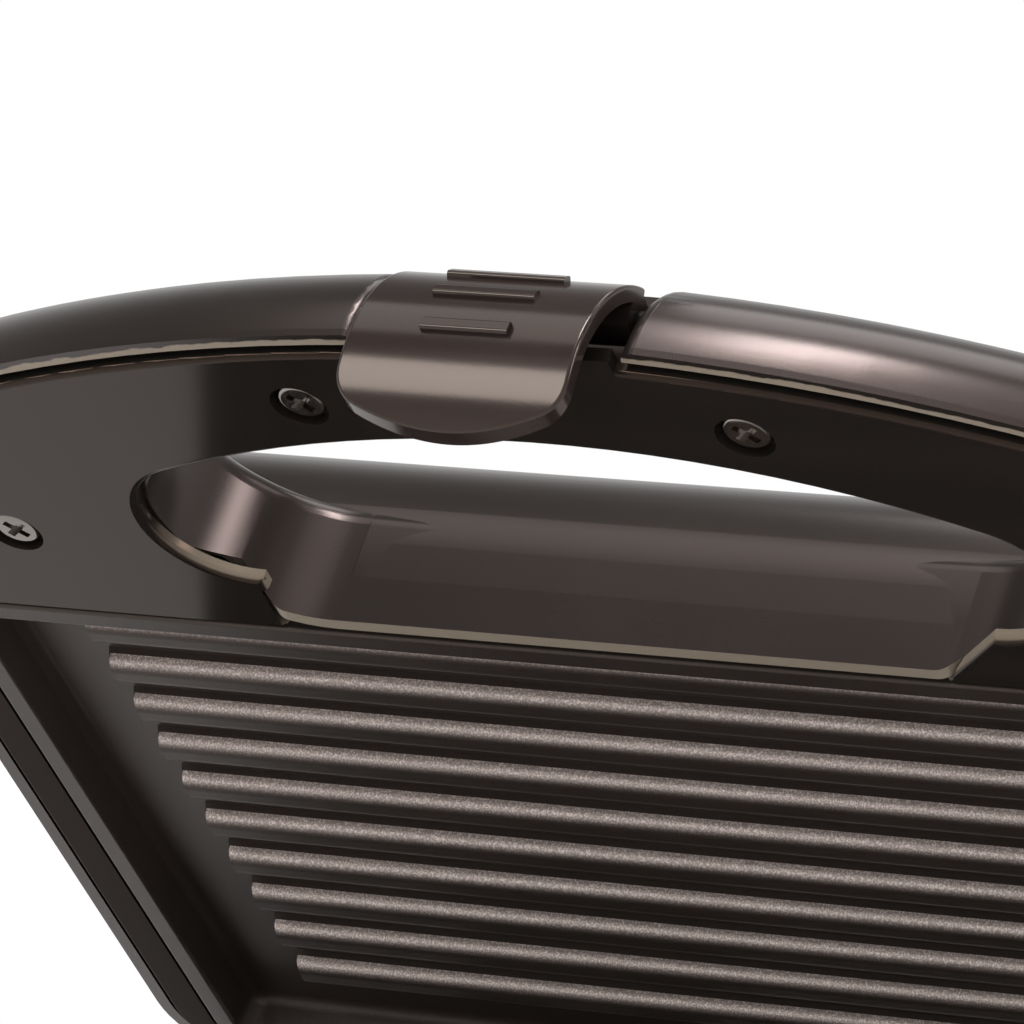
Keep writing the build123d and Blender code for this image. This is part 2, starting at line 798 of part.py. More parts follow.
with BuildPart() as lower_plate_screws:
    add(screws(turned(base_frame), [(-x, y) for x, y in post_points],
               -reflector_z - reflector_t - plate_screw_head_h, plate_screw_head_d,
               plate_screw_head_h, plate_screw_length))
lower_plate_screws.part.label = "lower_plate_screws"
export_step(lower_plate_screws.part, "parts/lower_plate_screws.step")

with BuildPart() as upper_plate_screws:
    add(screws(turned(lid_frame), [(-x, y) for x, y in post_points],
               -reflector_z - reflector_t - plate_screw_head_h, plate_screw_head_d,
               plate_screw_head_h, plate_screw_length))
upper_plate_screws.part.label = "upper_plate_screws"
export_step(upper_plate_screws.part, "parts/upper_plate_screws.step")

# Hinge pins, one through each knuckle and its pair of ears
with BuildPart() as hinge_pins:
    for side in (-1, 1):
        with BuildSketch(side_plane(base_frame, side * hinge_x)):
            Circle(hinge_pin_d / 2)
        extrude(amount=ear_outer, both=True)
    chamfer(hinge_pins.edges().filter_by(GeomType.CIRCLE), hinge_pin_d / 10)
hinge_pins.part.label = "hinge_pins"
export_step(hinge_pins.part, "parts/hinge_pins.step")

# Latch clip: a curved leaf with an arched end, an inner lip, grip ribs and a pin barrel
clip_side = side_plane(lid_frame)
clip_end_r = ((clip_w / 2) ** 2 + clip_end_sag**2) / (2 * clip_end_sag)
with BuildPart() as latch_clip:
    with BuildSketch(clip_side):
        with Locations((clip_centre_y, clip_centre_z)):
            Circle(clip_r)
            Circle(clip_r - clip_t, mode=Mode.SUBTRACT)
            Rectangle(4 * clip_r, 4 * clip_r, rotation=clip_top_angle,
                      align=(Align.CENTER, Align.MIN), mode=Mode.SUBTRACT)
        with Locations((clip_centre_y, clip_end_z)):
            Rectangle(4 * clip_r, 4 * clip_r, align=(Align.CENTER, Align.MAX), mode=Mode.SUBTRACT)
        with Locations((clip_pin_y, clip_pin_z)):
            Circle(clip_barrel_r)
            Circle(clip_pin_d / 2 + hinge_clearance, mode=Mode.SUBTRACT)
    extrude(amount=clip_w / 2, both=True)
    with BuildSketch(front_plane(lid_frame, clip_centre_y)) as outline:
        Rectangle(clip_w, 4 * clip_r)
        with Locations((0, clip_end_z + clip_end_r)):
            Circle(clip_end_r, mode=Mode.INTERSECT)
        fillet(outline.vertices().group_by(Axis.Y)[0], clip_end_corner_r)
    extrude(amount=2 * clip_r, both=True, mode=Mode.INTERSECT)
    with BuildSketch(clip_side):
        with Locations((clip_lip_y, clip_lip_z)):
            Rectangle(2 * clip_t, clip_lip_h, align=(Align.MIN, Align.MAX))
        with Locations((clip_centre_y, clip_centre_z)):
            Circle(clip_r - clip_t / 2, mode=Mode.INTERSECT)
    extrude(amount=clip_lip_w / 2, both=True)
    outer_face = latch_clip.faces().filter_by(GeomType.CYLINDER).sort_by(SortBy.AREA)[-1]
    fillet(outer_face.edges(), clip_edge_r)
    for angle, length in zip(grip_angles, grip_lengths):
        with BuildSketch(clip_side):
            with Locations((clip_centre_y, clip_centre_z)):
                with PolarLocations(clip_r, 1, start_angle=angle):
                    RectangleRounded(2 * grip_h, grip_w, grip_corner_r)
        extrude(amount=length / 2, both=True)
latch_clip.part.label = "latch_clip"
export_step(latch_clip.part, "parts/latch_clip.step")

with BuildPart() as latch_pin:
    with BuildSketch(clip_side):
        with Locations((clip_pin_y, clip_pin_z)):
            Circle(clip_pin_d / 2)
    extrude(amount=latch_slot_w / 2 + clip_pin_seat, both=True)
latch_pin.part.label = "latch_pin"
export_step(latch_pin.part, "parts/latch_pin.step")

# Thermostat disc behind the lower plate
with BuildPart() as thermostat:
    with BuildSketch(base_frame.offset(plate_back_z)):
        with Locations((0, thermostat_y)):
            Circle(thermostat_d / 2)
    extrude(amount=thermostat_h)
    with BuildSketch(base_frame.offset(plate_back_z + thermostat_h / 2)):
        with Locations((0, thermostat_y)):
            Rectangle(2 * thermostat_d, thermostat_d / 3)
    extrude(amount=reflector_t)
    chamfer(thermostat.faces().sort_by(outwards(base_frame))[-1].edges(), reflector_t)
thermostat.part.label = "thermostat"
export_step(thermostat.part, "parts/thermostat.step")

# Terminal block on the floor of the base, with a row of bays
with BuildPart() as terminal_block:
    with BuildSketch(base_frame.offset(dome_depth - wall)):
        with Locations((terminal_x, terminal_y)):
            Rectangle(terminal_w, terminal_d)
    extrude(amount=-terminal_h)
    with BuildSketch(front_plane(base_frame, terminal_y + terminal_d / 2)):
        with Locations((terminal_x, dome_depth - wall - terminal_h / 2)):
            with GridLocations(terminal_w / 3, 0, 3, 1):
                Circle(terminal_bay_d / 2)
    extrude(amount=terminal_d, mode=Mode.SUBTRACT)
    with BuildSketch(base_frame.offset(dome_depth - wall - terminal_h)):
        with Locations((terminal_x, terminal_y)):
            with GridLocations(terminal_w / 3, terminal_d / 2, 3, 2):
                Circle(terminal_screw_d / 2)
    extrude(amount=terminal_h / 2, mode=Mode.SUBTRACT)
terminal_block.part.label = "terminal_block"
export_step(terminal_block.part, "parts/terminal_block.step")

# Bush that lines the cord inlet in the rear wall
with BuildPart() as cord_inlet_bush:
    with BuildSketch(front_plane(base_frame, inlet_face_y)):
        with Locations((inlet_x, inlet_z)):
            Circle(inlet_flange_d / 2)
    extrude(amount=inlet_flange_t)
    rear_edge = cord_inlet_bush.edges().sort_by(Axis(base_frame.origin, base_frame.y_dir))[0]
    fillet(rear_edge, inlet_flange_t / 2)
    with BuildSketch(front_plane(base_frame, inlet_face_y)):
        with Locations((inlet_x, inlet_z)):
            Circle(inlet_bush_d / 2)
    extrude(amount=-inlet_collar_len)
    with BuildSketch(front_plane(base_frame, inlet_face_y - inlet_flange_t)):
        with Locations((inlet_x, inlet_z)):
            Circle(inlet_bore_d / 2)
    extrude(amount=-inlet_collar_len - inlet_flange_t, mode=Mode.SUBTRACT)
cord_inlet_bush.part.label = "cord_inlet_bush"
export_step(cord_inlet_bush.part, "parts/cord_inlet_bush.step")

# Indicator lenses on top of the lid and the lamps pushed into them
with BuildPart() as power_lens:
    add(lens(lens_points[0]))
power_lens.part.label = "power_lens"
export_step(power_lens.part, "parts/power_lens.step")

with BuildPart() as ready_lens:
    add(lens(lens_points[1]))
ready_lens.part.label = "ready_lens"
export_step(ready_lens.part, "parts/ready_lens.step")

with BuildPart() as indicator_lamps:
    with BuildSketch(lid_frame.offset(dome_depth - wall - lens_flange_t)):
        with Locations(*lens_points):
            Circle(lamp_d / 2)
    extrude(amount=-lamp_len)
    with BuildSketch(lid_frame.offset(dome_depth - wall - lens_flange_t - lamp_len)):
        with Locations(*lens_points):
            Circle(lamp_cap_d / 2)
    extrude(amount=-lamp_cap_d)
indicator_lamps.part.label = "indicator_lamps"
export_step(indicator_lamps.part, "parts/indicator_lamps.step")

# Rubber feet glued into the sockets under the base
with BuildPart() as rubber_feet:
    with BuildSketch(base_frame.offset(dome_depth - foot_socket_depth)):
        with Locations(*foot_points):
            Circle(foot_d / 2)
    extrude(amount=foot_socket_depth + foot_height)
    fillet(rubber_feet.edges().group_by(outwards(base_frame))[-1], foot_edge_r)
rubber_feet.part.label = "rubber_feet"
export_step(rubber_feet.part, "parts/rubber_feet.step")
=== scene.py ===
"""Panini press standing part open: finishes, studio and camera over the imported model."""

import json
import logging
import math
from dataclasses import dataclass, field
from enum import Enum

import bmesh
import bpy
from mathutils import Matrix, Vector


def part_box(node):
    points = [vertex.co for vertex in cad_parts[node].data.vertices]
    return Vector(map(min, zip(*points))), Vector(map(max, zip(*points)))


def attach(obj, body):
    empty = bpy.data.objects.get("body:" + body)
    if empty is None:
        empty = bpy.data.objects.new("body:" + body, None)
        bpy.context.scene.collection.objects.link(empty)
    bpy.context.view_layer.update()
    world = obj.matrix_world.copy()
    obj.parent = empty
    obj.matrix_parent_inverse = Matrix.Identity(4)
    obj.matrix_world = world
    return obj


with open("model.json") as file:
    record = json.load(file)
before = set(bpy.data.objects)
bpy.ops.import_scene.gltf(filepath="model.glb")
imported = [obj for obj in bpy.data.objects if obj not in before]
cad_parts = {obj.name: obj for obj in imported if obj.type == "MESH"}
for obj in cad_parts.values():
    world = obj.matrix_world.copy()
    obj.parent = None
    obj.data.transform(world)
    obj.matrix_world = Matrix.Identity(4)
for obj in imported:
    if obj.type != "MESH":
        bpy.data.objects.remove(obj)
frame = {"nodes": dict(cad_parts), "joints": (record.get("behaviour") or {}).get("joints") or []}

log = logging.getLogger("panini_press")

Colour = tuple[float, float, float]
Place = tuple[float, float, float]
Span = tuple[float, float]

LID_ANGLE = math.radians(44.0)
HINGE = Vector(next(joint["pos_m"] for joint in frame["joints"] if joint["name"] == "lid_hinge"))


def linear(red: int, green: int, blue: int) -> Colour:
    """Turns a display colour into linear light.

    Args:
        red: Red, 0 to 255.
        green: Green, 0 to 255.
        blue: Blue, 0 to 255.

    Returns:
        The linear colour.
    """
    def channel(value: int) -> float:
        """One channel, from display value to linear light."""
        part = value / 255.0
        return part / 12.92 if part <= 0.04045 else ((part + 0.055) / 1.055) ** 2.4

    return channel(red), channel(green), channel(blue)


class Half(Enum):
    """The two halves of the press."""

    BASE = "base"
    LID = "lid"


def half_axes(half: Half) -> tuple[Vector, Vector, Vector]:
    """The axes of a half's own frame: across, from the hinge to the handle, and outwards.

    Args:
        half: Which half.

    Returns:
        The three axes at rest.
    """
    sign = 1.0 if half is Half.LID else -1.0
    angle = LID_ANGLE if half is Half.LID else 0.0
    reach = Vector((0.0, -math.cos(angle), math.sin(angle)))
    out = Vector((0.0, sign * math.sin(angle), sign * math.cos(angle)))
    return Vector((-sign, 0.0, 0.0)), reach, out


class Polish(Enum):
    """How a moulded surface is polished, as its roughness."""

    SATIN = 0.23
    SOFT = 0.15
    GLOSS = 0.10
    DULL = 0.75


@dataclass
class Graph:
    """A small helper that lays out the nodes of one tree."""

    tree: bpy.types.NodeTree

    def node(self, kind: str, **settings: object) -> bpy.types.Node:
        """Adds a node.

        Args:
            kind: The node's type name.
            **settings: Attributes of the node.

        Returns:
            The new node.
        """
        made = self.tree.nodes.new(kind)
        for name, value in settings.items():
            setattr(made, name, value)
        return made

    def link(self, source: bpy.types.NodeSocket, target: bpy.types.NodeSocket) -> None:
        """Joins an output to an input."""
        self.tree.links.new(source, target)

    def feed(self, slot: bpy.types.NodeSocket, value: object) -> None:
        """Joins a socket to an input, or sets the input to a number.

        Args:
            slot: The input.
            value: A socket or a number.
        """
        if isinstance(value, bpy.types.NodeSocket):
            self.link(value, slot)
        else:
            slot.default_value = value

    def math(self, operation: str, first: object, second: object = None) -> bpy.types.NodeSocket:
        """Adds a math node.

        Args:
            operation: The operation's name.
            first: A socket or a number.
            second: A socket, a number or nothing.

        Returns:
            The node's output socket.
        """
        made = self.node("ShaderNodeMath", operation=operation)
        self.feed(made.inputs[0], first)
        if second is not None:
            self.feed(made.inputs[1], second)
        return made.outputs[0]

    def product(self, *factors: object) -> bpy.types.NodeSocket:
        """Multiplies masks, values and numbers.

        Args:
            *factors: Sockets or numbers, two or more.

        Returns:
            The product.
        """
        result = factors[0]
        for factor in factors[1:]:
            result = self.math("MULTIPLY", result, factor)
        return result

    def spread(self, value: bpy.types.NodeSocket, low: float, high: float,
               to_low: float, to_high: float) -> bpy.types.NodeSocket:
        """Maps a value smoothly from one span to another.

        Args:
            value: The value.
            low: Start of its span.
            high: End of its span.
            to_low: Result at the start.
            to_high: Result at the end.

        Returns:
            The mapped value.
        """
        made = self.node("ShaderNodeMapRange", interpolation_type="SMOOTHSTEP")
        self.link(value, made.inputs["Value"])
        made.inputs["From Min"].default_value = low
        made.inputs["From Max"].default_value = high
        made.inputs["To Min"].default_value = to_low
        made.inputs["To Max"].default_value = to_high
        return made.outputs["Result"]

    def rise(self, value: bpy.types.NodeSocket, span: Span) -> bpy.types.NodeSocket:
        """A mask that goes from 0 to 1 over a span of the value."""
        return self.spread(value, *span, 0.0, 1.0)

    def fall(self, value: bpy.types.NodeSocket, span: Span) -> bpy.types.NodeSocket:
        """A mask that goes from 1 to 0 over a span of the value."""
        return self.spread(value, *span, 1.0, 0.0)

    def noise(self, place: bpy.types.NodeSocket, scale: object, detail: float,
              roughness: float = 0.5) -> bpy.types.NodeSocket:
        """Adds a noise texture.

        Args:
            place: The coordinates.
            scale: Spots per metre, as a number or a socket.
            detail: Octaves.
            roughness: Strength of the finer octaves.

        Returns:
            The noise value.
        """
        made = self.node("ShaderNodeTexNoise")
        self.feed(made.inputs["Scale"], scale)
        made.inputs["Detail"].default_value = detail
        made.inputs["Roughness"].default_value = roughness
        self.link(place, made.inputs["Vector"])
        return made.outputs["Fac"]

    def dot(self, vector: bpy.types.NodeSocket, axis: Vector) -> bpy.types.NodeSocket:
        """The length of a vector along an axis.

        Args:
            vector: The vector.
            axis: The axis, of length 1.

        Returns:
            The length.
        """
        made = self.node("ShaderNodeVectorMath", operation="DOT_PRODUCT")
        self.link(vector, made.inputs[0])
        made.inputs[1].default_value = axis
        return made.outputs["Value"]


@dataclass
class SurfaceGroups:
    """The node groups that the finishes share."""

    made: dict[str, bpy.types.NodeTree] = field(default_factory=dict)
    grain_scale: float = 2600.0
    grain_height: float = 0.35
    wave_scale: float = 45.0
    marks_scale: float = 24.0
    marks_roughness: float = 0.62
    tone_span: Span = (0.30, 0.70)
    handling_span: Span = (0.42, 0.80)
    cloud_scale: float = 30.0
    speck_scale: float = 900.0
    speck_roughness: float = 0.6
    speck_span: Span = (0.42, 0.68)

    @staticmethod
    def _blank(name: str, inputs: dict[str, tuple[str, float]],
               outputs: dict[str, str]) -> bpy.types.NodeTree:
        """Makes an empty group with named sockets.

        Args:
            name: The group's name.
            inputs: Socket type and default by name.
            outputs: Socket type by name.

        Returns:
            The group.
        """
        tree = bpy.data.node_groups.new(name, "ShaderNodeTree")
        for label, (kind, default) in inputs.items():
            socket = tree.interface.new_socket(label, in_out="INPUT", socket_type=kind)
            if kind == "NodeSocketFloat":
                socket.default_value = default
        for label, kind in outputs.items():
            tree.interface.new_socket(label, in_out="OUTPUT", socket_type=kind)
        return tree

    def moulding(self) -> bpy.types.NodeTree:
        """Moulded surface: slow waviness, fine grain and faint handling marks.

        Returns:
            The node group.
        """
        if "moulding" not in self.made:
            tree = self._blank(
                "moulded_surface",
                {"Grain": ("NodeSocketFloat", self.grain_scale),
                 "Marks": ("NodeSocketFloat", self.marks_scale)},
                {"Height": "NodeSocketFloat", "Tone": "NodeSocketFloat", "Handling": "NodeSocketFloat"},
            )
            graph = Graph(tree)
            entry = graph.node("NodeGroupInput")
            leave = graph.node("NodeGroupOutput")
            place = graph.node("ShaderNodeTexCoord").outputs["Object"]
            grain = graph.noise(place, entry.outputs["Grain"], detail=2.0)
            wave = graph.noise(place, self.wave_scale, detail=1.0)
            marks = graph.noise(place, entry.outputs["Marks"], detail=6.0, roughness=self.marks_roughness)
            height = graph.math("ADD", graph.product(grain, self.grain_height), wave)
            graph.link(height, leave.inputs["Height"])
            graph.link(graph.rise(marks, self.tone_span), leave.inputs["Tone"])
            graph.link(graph.rise(marks, self.handling_span), leave.inputs["Handling"])
            self.made["moulding"] = tree
        return self.made["moulding"]

    def speckle(self) -> bpy.types.NodeTree:
        """Fine sprayed or cast speckle.

        Returns:
            The node group.
        """
        if "speckle" not in self.made:
            tree = self._blank(
                "fine_speckle",
                {"Scale": ("NodeSocketFloat", self.speck_scale)},
                {"Height": "NodeSocketFloat", "Speck": "NodeSocketFloat", "Cloud": "NodeSocketFloat"},
            )
            graph = Graph(tree)
            entry = graph.node("NodeGroupInput")
            leave = graph.node("NodeGroupOutput")
            place = graph.node("ShaderNodeTexCoord").outputs["Object"]
            fine = graph.noise(place, entry.outputs["Scale"], detail=3.0, roughness=self.speck_roughness)
            cloud = graph.noise(place, self.cloud_scale, detail=4.0)
            graph.link(fine, leave.inputs["Height"])
            graph.link(graph.rise(fine, self.speck_span), leave.inputs["Speck"])
            graph.link(graph.rise(cloud, self.tone_span), leave.inputs["Cloud"])
            self.made["speckle"] = tree
        return self.made["speckle"]

    def half_place(self, half: Half) -> bpy.types.NodeTree:
        """Place in a half's own frame: across, from the hinge to the handle, and outwards.

        Args:
            half: Which half.

        Returns:
            The node group.
        """
        key = f"place_{half.value}"
        if key not in self.made:
            tree = self._blank(
                f"{half.value}_place", {},
                {"Across": "NodeSocketFloat", "Reach": "NodeSocketFloat", "Out": "NodeSocketFloat",
                 "Facing": "NodeSocketFloat"},
            )
            graph = Graph(tree)
            leave = graph.node("NodeGroupOutput")
            coord = graph.node("ShaderNodeTexCoord")
            across, reach, out = half_axes(half)
            shift = graph.node("ShaderNodeVectorMath", operation="SUBTRACT")
            graph.link(coord.outputs["Object"], shift.inputs[0])
            shift.inputs[1].default_value = HINGE
            for label, axis in (("Across", across), ("Reach", reach), ("Out", out)):
                graph.link(graph.dot(shift.outputs[0], axis), leave.inputs[label])
            graph.link(graph.dot(coord.outputs["Normal"], -out), leave.inputs["Facing"])
            self.made[key] = tree
        return self.made[key]


GROUPS = SurfaceGroups()


@dataclass
class Paint:
    """A material in the making: its graph and its Principled shader."""

    name: str
    material: bpy.types.Material = field(init=False)
    graph: Graph = field(init=False)
    shader: bpy.types.Node = field(init=False)

    def __post_init__(self) -> None:
        """Makes the material with a bare Principled shader."""
        self.material = bpy.data.materials.new(self.name)
        self.material.use_nodes = True
        self.graph = Graph(self.material.node_tree)
        self.graph.tree.nodes.clear()
        self.shader = self.graph.node("ShaderNodeBsdfPrincipled")
        out = self.graph.node("ShaderNodeOutputMaterial")
        self.graph.link(self.shader.outputs[0], out.inputs["Surface"])

    def group(self, tree: bpy.types.NodeTree, **values: float) -> bpy.types.Node:
        """Places a shared group.

        Args:
            tree: The group.
            **values: Its inputs.

        Returns:
            The group node.
        """
        made = self.graph.node("ShaderNodeGroup", node_tree=tree)
        for label, value in values.items():
            made.inputs[label].default_value = value
        return made

    def blend(self, mask: bpy.types.NodeSocket, low: object, high: object) -> bpy.types.NodeSocket:
        """Blends two colours by a mask.

        Args:
            mask: The mask.
            low: Colour, or socket, where the mask is 0.
            high: Colour, or socket, where the mask is 1.

        Returns:
            The blended colour.
        """
        mix = self.graph.node("ShaderNodeMix", data_type="RGBA")
        self.graph.link(mask, mix.inputs["Factor"])
        slots = [slot for slot in mix.inputs if slot.type == "RGBA"]
        for slot, value in zip(slots, (low, high)):
            self.graph.feed(slot, value if isinstance(value, bpy.types.NodeSocket) else (*value, 1.0))
        return next(slot for slot in mix.outputs if slot.type == "RGBA")

    def bump(self, height: bpy.types.NodeSocket, strength: float, depth: float) -> None:
        """Raises the surface by a height.

        Args:
            height: The height, 0 to 1.
            strength: How strongly it shows.
            depth: Its size in metres.
        """
        made = self.graph.node("ShaderNodeBump")
        made.inputs["Strength"].default_value = strength
        made.inputs["Distance"].default_value = depth
        self.graph.link(height, made.inputs["Height"])
        self.graph.link(made.outputs["Normal"], self.shader.inputs["Normal"])


@dataclass(frozen=True)
class BareRim:
    """Bare moulding on the rim that faces the other half, from the tongue to the handle's arch."""

    colour: Colour
    facing: Span = (0.55, 0.80)
    depth: Span = (0.0086, 0.0090)
    start: Span = (0.1400, 0.1412)
    well_start: Span = (0.1565, 0.1600)
    well_end: Span = (0.1965, 0.1975)
    well_side: Span = (0.0750, 0.0760)
    arch_centre: float = -0.0252
    arch_edge: Span = (0.2395, 0.2399)
    ragged: float = 0.0016
    ragged_scale: float = 260.0

    def mask(self, graph: Graph, place: bpy.types.Node) -> bpy.types.NodeSocket:
        """A mask of the rim, with a ragged outer edge along the arch and none of it in the well.

        Args:
            graph: The graph.
            place: The group node that gives the place in the half.

        Returns:
            The mask.
        """
        reach = place.outputs["Reach"]
        across = graph.math("ABSOLUTE", place.outputs["Across"])
        flat = graph.product(graph.rise(place.outputs["Facing"], self.facing),
                             graph.fall(place.outputs["Out"], self.depth))
        well = graph.product(graph.rise(reach, self.well_start), graph.fall(reach, self.well_end),
                             graph.fall(across, self.well_side))
        height = graph.math("SUBTRACT", reach, self.arch_centre)
        squares = graph.math("ADD", graph.product(across, across), graph.product(height, height))
        radius = graph.math("SQRT", squares)
        surface = graph.node("ShaderNodeTexCoord").outputs["Object"]
        wobble = graph.product(graph.noise(surface, self.ragged_scale, detail=3.0), self.ragged)
        trimmed = graph.fall(graph.math("ADD", radius, wobble), self.arch_edge)
        outside = graph.math("SUBTRACT", 1.0, well)
        return graph.product(flat, graph.rise(reach, self.start), trimmed, outside)


@dataclass(frozen=True)
class HoleLip:
    """Bare moulding on the lip of the finger hole, beside the plate."""

    colour: Colour
    turned_from: Span = (-0.50, -0.30)
    turned_to: Span = (0.45, 0.75)
    start: Span = (0.1375, 0.1385)
    end: Span = (0.1530, 0.1650)
    side: Span = (0.0715, 0.0725)

    def mask(self, graph: Graph, place: bpy.types.Node) -> bpy.types.NodeSocket:
        """A mask of the lip's wall and rounding, up to the ends of the hole.

        Args:
            graph: The graph.
            place: The group node that gives the place in the half.

        Returns:
            The mask.
        """
        facing = place.outputs["Facing"]
        reach = place.outputs["Reach"]
        across = graph.math("ABSOLUTE", place.outputs["Across"])
        turned = graph.product(graph.rise(facing, self.turned_from), graph.fall(facing, self.turned_to))
        low = graph.product(graph.rise(reach, self.start), graph.fall(reach, self.end))
        return graph.product(turned, low, graph.fall(across, self.side))


@dataclass(frozen=True)
class DullSides:
    """The two strips of the cover beside the plate, which are left duller."""

    inner: Span = (0.1122, 0.1128)
    end: Span = (0.128, 0.150)

    def mask(self, graph: Graph, place: bpy.types.Node) -> bpy.types.NodeSocket:
        """A mask of the strips, up to the front of the plate.

        Args:
            graph: The graph.
            place: The group node that gives the place in the half.

        Returns:
            The mask.
        """
        across = graph.math("ABSOLUTE", place.outputs["Across"])
        return graph.product(graph.rise(across, self.inner), graph.fall(place.outputs["Reach"], self.end))


@dataclass(frozen=True)
class MouldedPlastic:
    """Moulded plastic with a fine grain and faint handling marks."""

    name: str
    colour: Colour
    pale: Colour
    polish: Polish
    half: Half
    tint: Colour = (1.0, 0.76, 0.71)
    specular: float = 0.5
    refraction: float = 1.5
    bare: BareRim | HoleLip | None = None
    dull: DullSides | None = None
    handled: float = 1.08
    bare_roughness: float = 0.25
    relief: float = 0.14
    depth: float = 0.00012

    def make(self) -> bpy.types.Material:
        """Builds the finish.

        Returns:
            The material.
        """
        paint = Paint(self.name)
        graph = paint.graph
        surface = paint.group(GROUPS.moulding())
        place = paint.group(GROUPS.half_place(self.half))
        smooth = self.polish.value
        colour = paint.blend(surface.outputs["Tone"], self.colour, self.pale)
        rough = graph.spread(surface.outputs["Handling"], 0.0, 1.0, smooth, smooth * self.handled)
        if self.bare is not None:
            mask = self.bare.mask(graph, place)
            colour = paint.blend(mask, colour, self.bare.colour)
            rough = graph.math("ADD", rough, graph.product(mask, self.bare_roughness))
        if self.dull is not None:
            extra = Polish.DULL.value - smooth
            rough = graph.math("ADD", rough, graph.product(self.dull.mask(graph, place), extra))
        graph.link(colour, paint.shader.inputs["Base Color"])
        graph.link(rough, paint.shader.inputs["Roughness"])
        paint.shader.inputs["IOR"].default_value = self.refraction
        paint.shader.inputs["Specular IOR Level"].default_value = self.specular
        paint.shader.inputs["Specular Tint"].default_value = (*self.tint, 1.0)
        paint.bump(surface.outputs["Height"], self.relief, self.depth)
        return paint.material


@dataclass(frozen=True)
class CoatedCasting:
    """Cast plate under a dark, finely mottled non-stick coat, with a painted highlight streak on the
    ribs.
    """

    name: str
    colour: Colour
    pale: Colour
    painted_highlight: Colour
    painted_highlight_dark: Colour
    roughness: float
    half: Half
    rib_half: float
    rib_front: float
    rib_rear: float
    rib_foot: float = 0.0058
    rib_side: Span = (0.50, 0.97)
    rib_shoulder: Span = (0.10, 0.35)
    streak_metallic: float = 0.9
    tint: Colour = (1.0, 0.84, 0.78)
    refraction: float = 1.5
    grain: float = 3200.0
    speck_share: float = 0.7
    unevenness: float = 0.08
    relief: float = 0.4
    depth: float = 0.0001

    def make(self) -> bpy.types.Material:
        """Builds the finish.

        Returns:
            The material.
        """
        paint = Paint(self.name)
        graph = paint.graph
        mottle = paint.group(GROUPS.speckle(), Scale=self.grain)
        place = paint.group(GROUPS.half_place(self.half))
        speck = mottle.outputs["Speck"]
        cloud = graph.product(mottle.outputs["Cloud"], 1.0 - self.speck_share)
        tone = graph.math("ADD", graph.product(speck, self.speck_share), cloud)
        coat = paint.blend(tone, self.colour, self.pale)
        # Painted highlight: a light speckled colour on the ribs' sides and shoulders stands in for a lit
        # streak.
        streak_colour = paint.blend(speck, self.painted_highlight_dark, self.painted_highlight)
        streak_mask = self._rib_streak_mask(graph, place)
        graph.link(paint.blend(streak_mask, coat, streak_colour), paint.shader.inputs["Base Color"])
        # The painted highlight streak is made metallic on the rib shoulders.
        shoulder = graph.spread(place.outputs["Facing"], *self.rib_shoulder, 0.0, self.streak_metallic)
        graph.link(graph.product(streak_mask, shoulder), paint.shader.inputs["Metallic"])
        rough = graph.spread(speck, 0.0, 1.0, self.roughness, self.roughness + self.unevenness)
        graph.link(rough, paint.shader.inputs["Roughness"])
        paint.shader.inputs["IOR"].default_value = self.refraction
        paint.shader.inputs["Specular Tint"].default_value = (*self.tint, 1.0)
        paint.bump(mottle.outputs["Height"], self.relief, self.depth)
        return paint.material

    def _rib_streak_mask(self, graph: Graph, place: bpy.types.Node) -> bpy.types.NodeSocket:
        """A mask of the ribs' sides and shoulders, where a light colour is painted as a highlight streak.

        Args:
            graph: The graph.
            place: The group node that gives the place in the half.

        Returns:
            The mask.
        """
        across = graph.math("ABSOLUTE", place.outputs["Across"])
        reach = place.outputs["Reach"]
        return graph.product(
            graph.fall(place.outputs["Facing"], self.rib_side),
            graph.math("LESS_THAN", place.outputs["Out"], self.rib_foot),
            graph.math("LESS_THAN", across, self.rib_half),
            graph.math("LESS_THAN", reach, self.rib_front),
            graph.math("GREATER_THAN", reach, self.rib_rear),
        )


@dataclass(frozen=True)
class SpeckledFinish:
    """A clouded colour under a fine speckle, which also varies the polish."""

    name: str
    colour: Colour
    pale: Colour
    roughness: float
    metallic: float = 0.0
    grain: float = 1900.0
    unevenness: float = 0.12
    relief: float = 0.3
    depth: float = 0.0001

    def make(self) -> bpy.types.Material:
        """Builds the finish.

        Returns:
            The material.
        """
        paint = Paint(self.name)
        graph = paint.graph
        mottle = paint.group(GROUPS.speckle(), Scale=self.grain)
        colour = paint.blend(mottle.outputs["Cloud"], self.colour, self.pale)
        graph.link(colour, paint.shader.inputs["Base Color"])
        smooth = self.roughness
        rough = graph.spread(mottle.outputs["Speck"], 0.0, 1.0, smooth, smooth + self.unevenness)
        graph.link(rough, paint.shader.inputs["Roughness"])
        paint.shader.inputs["Metallic"].default_value = self.metallic
        paint.bump(mottle.outputs["Height"], self.relief, self.depth)
        return paint.material


@dataclass(frozen=True)
class DullMoulding(SpeckledFinish):
    """Rubber or ceramic: matte, with a fine pitted skin."""


@dataclass(frozen=True)
class WorkedMetal(SpeckledFinish):
    """Bare metal with a fine speckle and a clouded polish."""

    metallic: float = 1.0
    grain: float = 2400.0
    unevenness: float = 0.1
    relief: float = 0.12
    depth: float = 0.00006


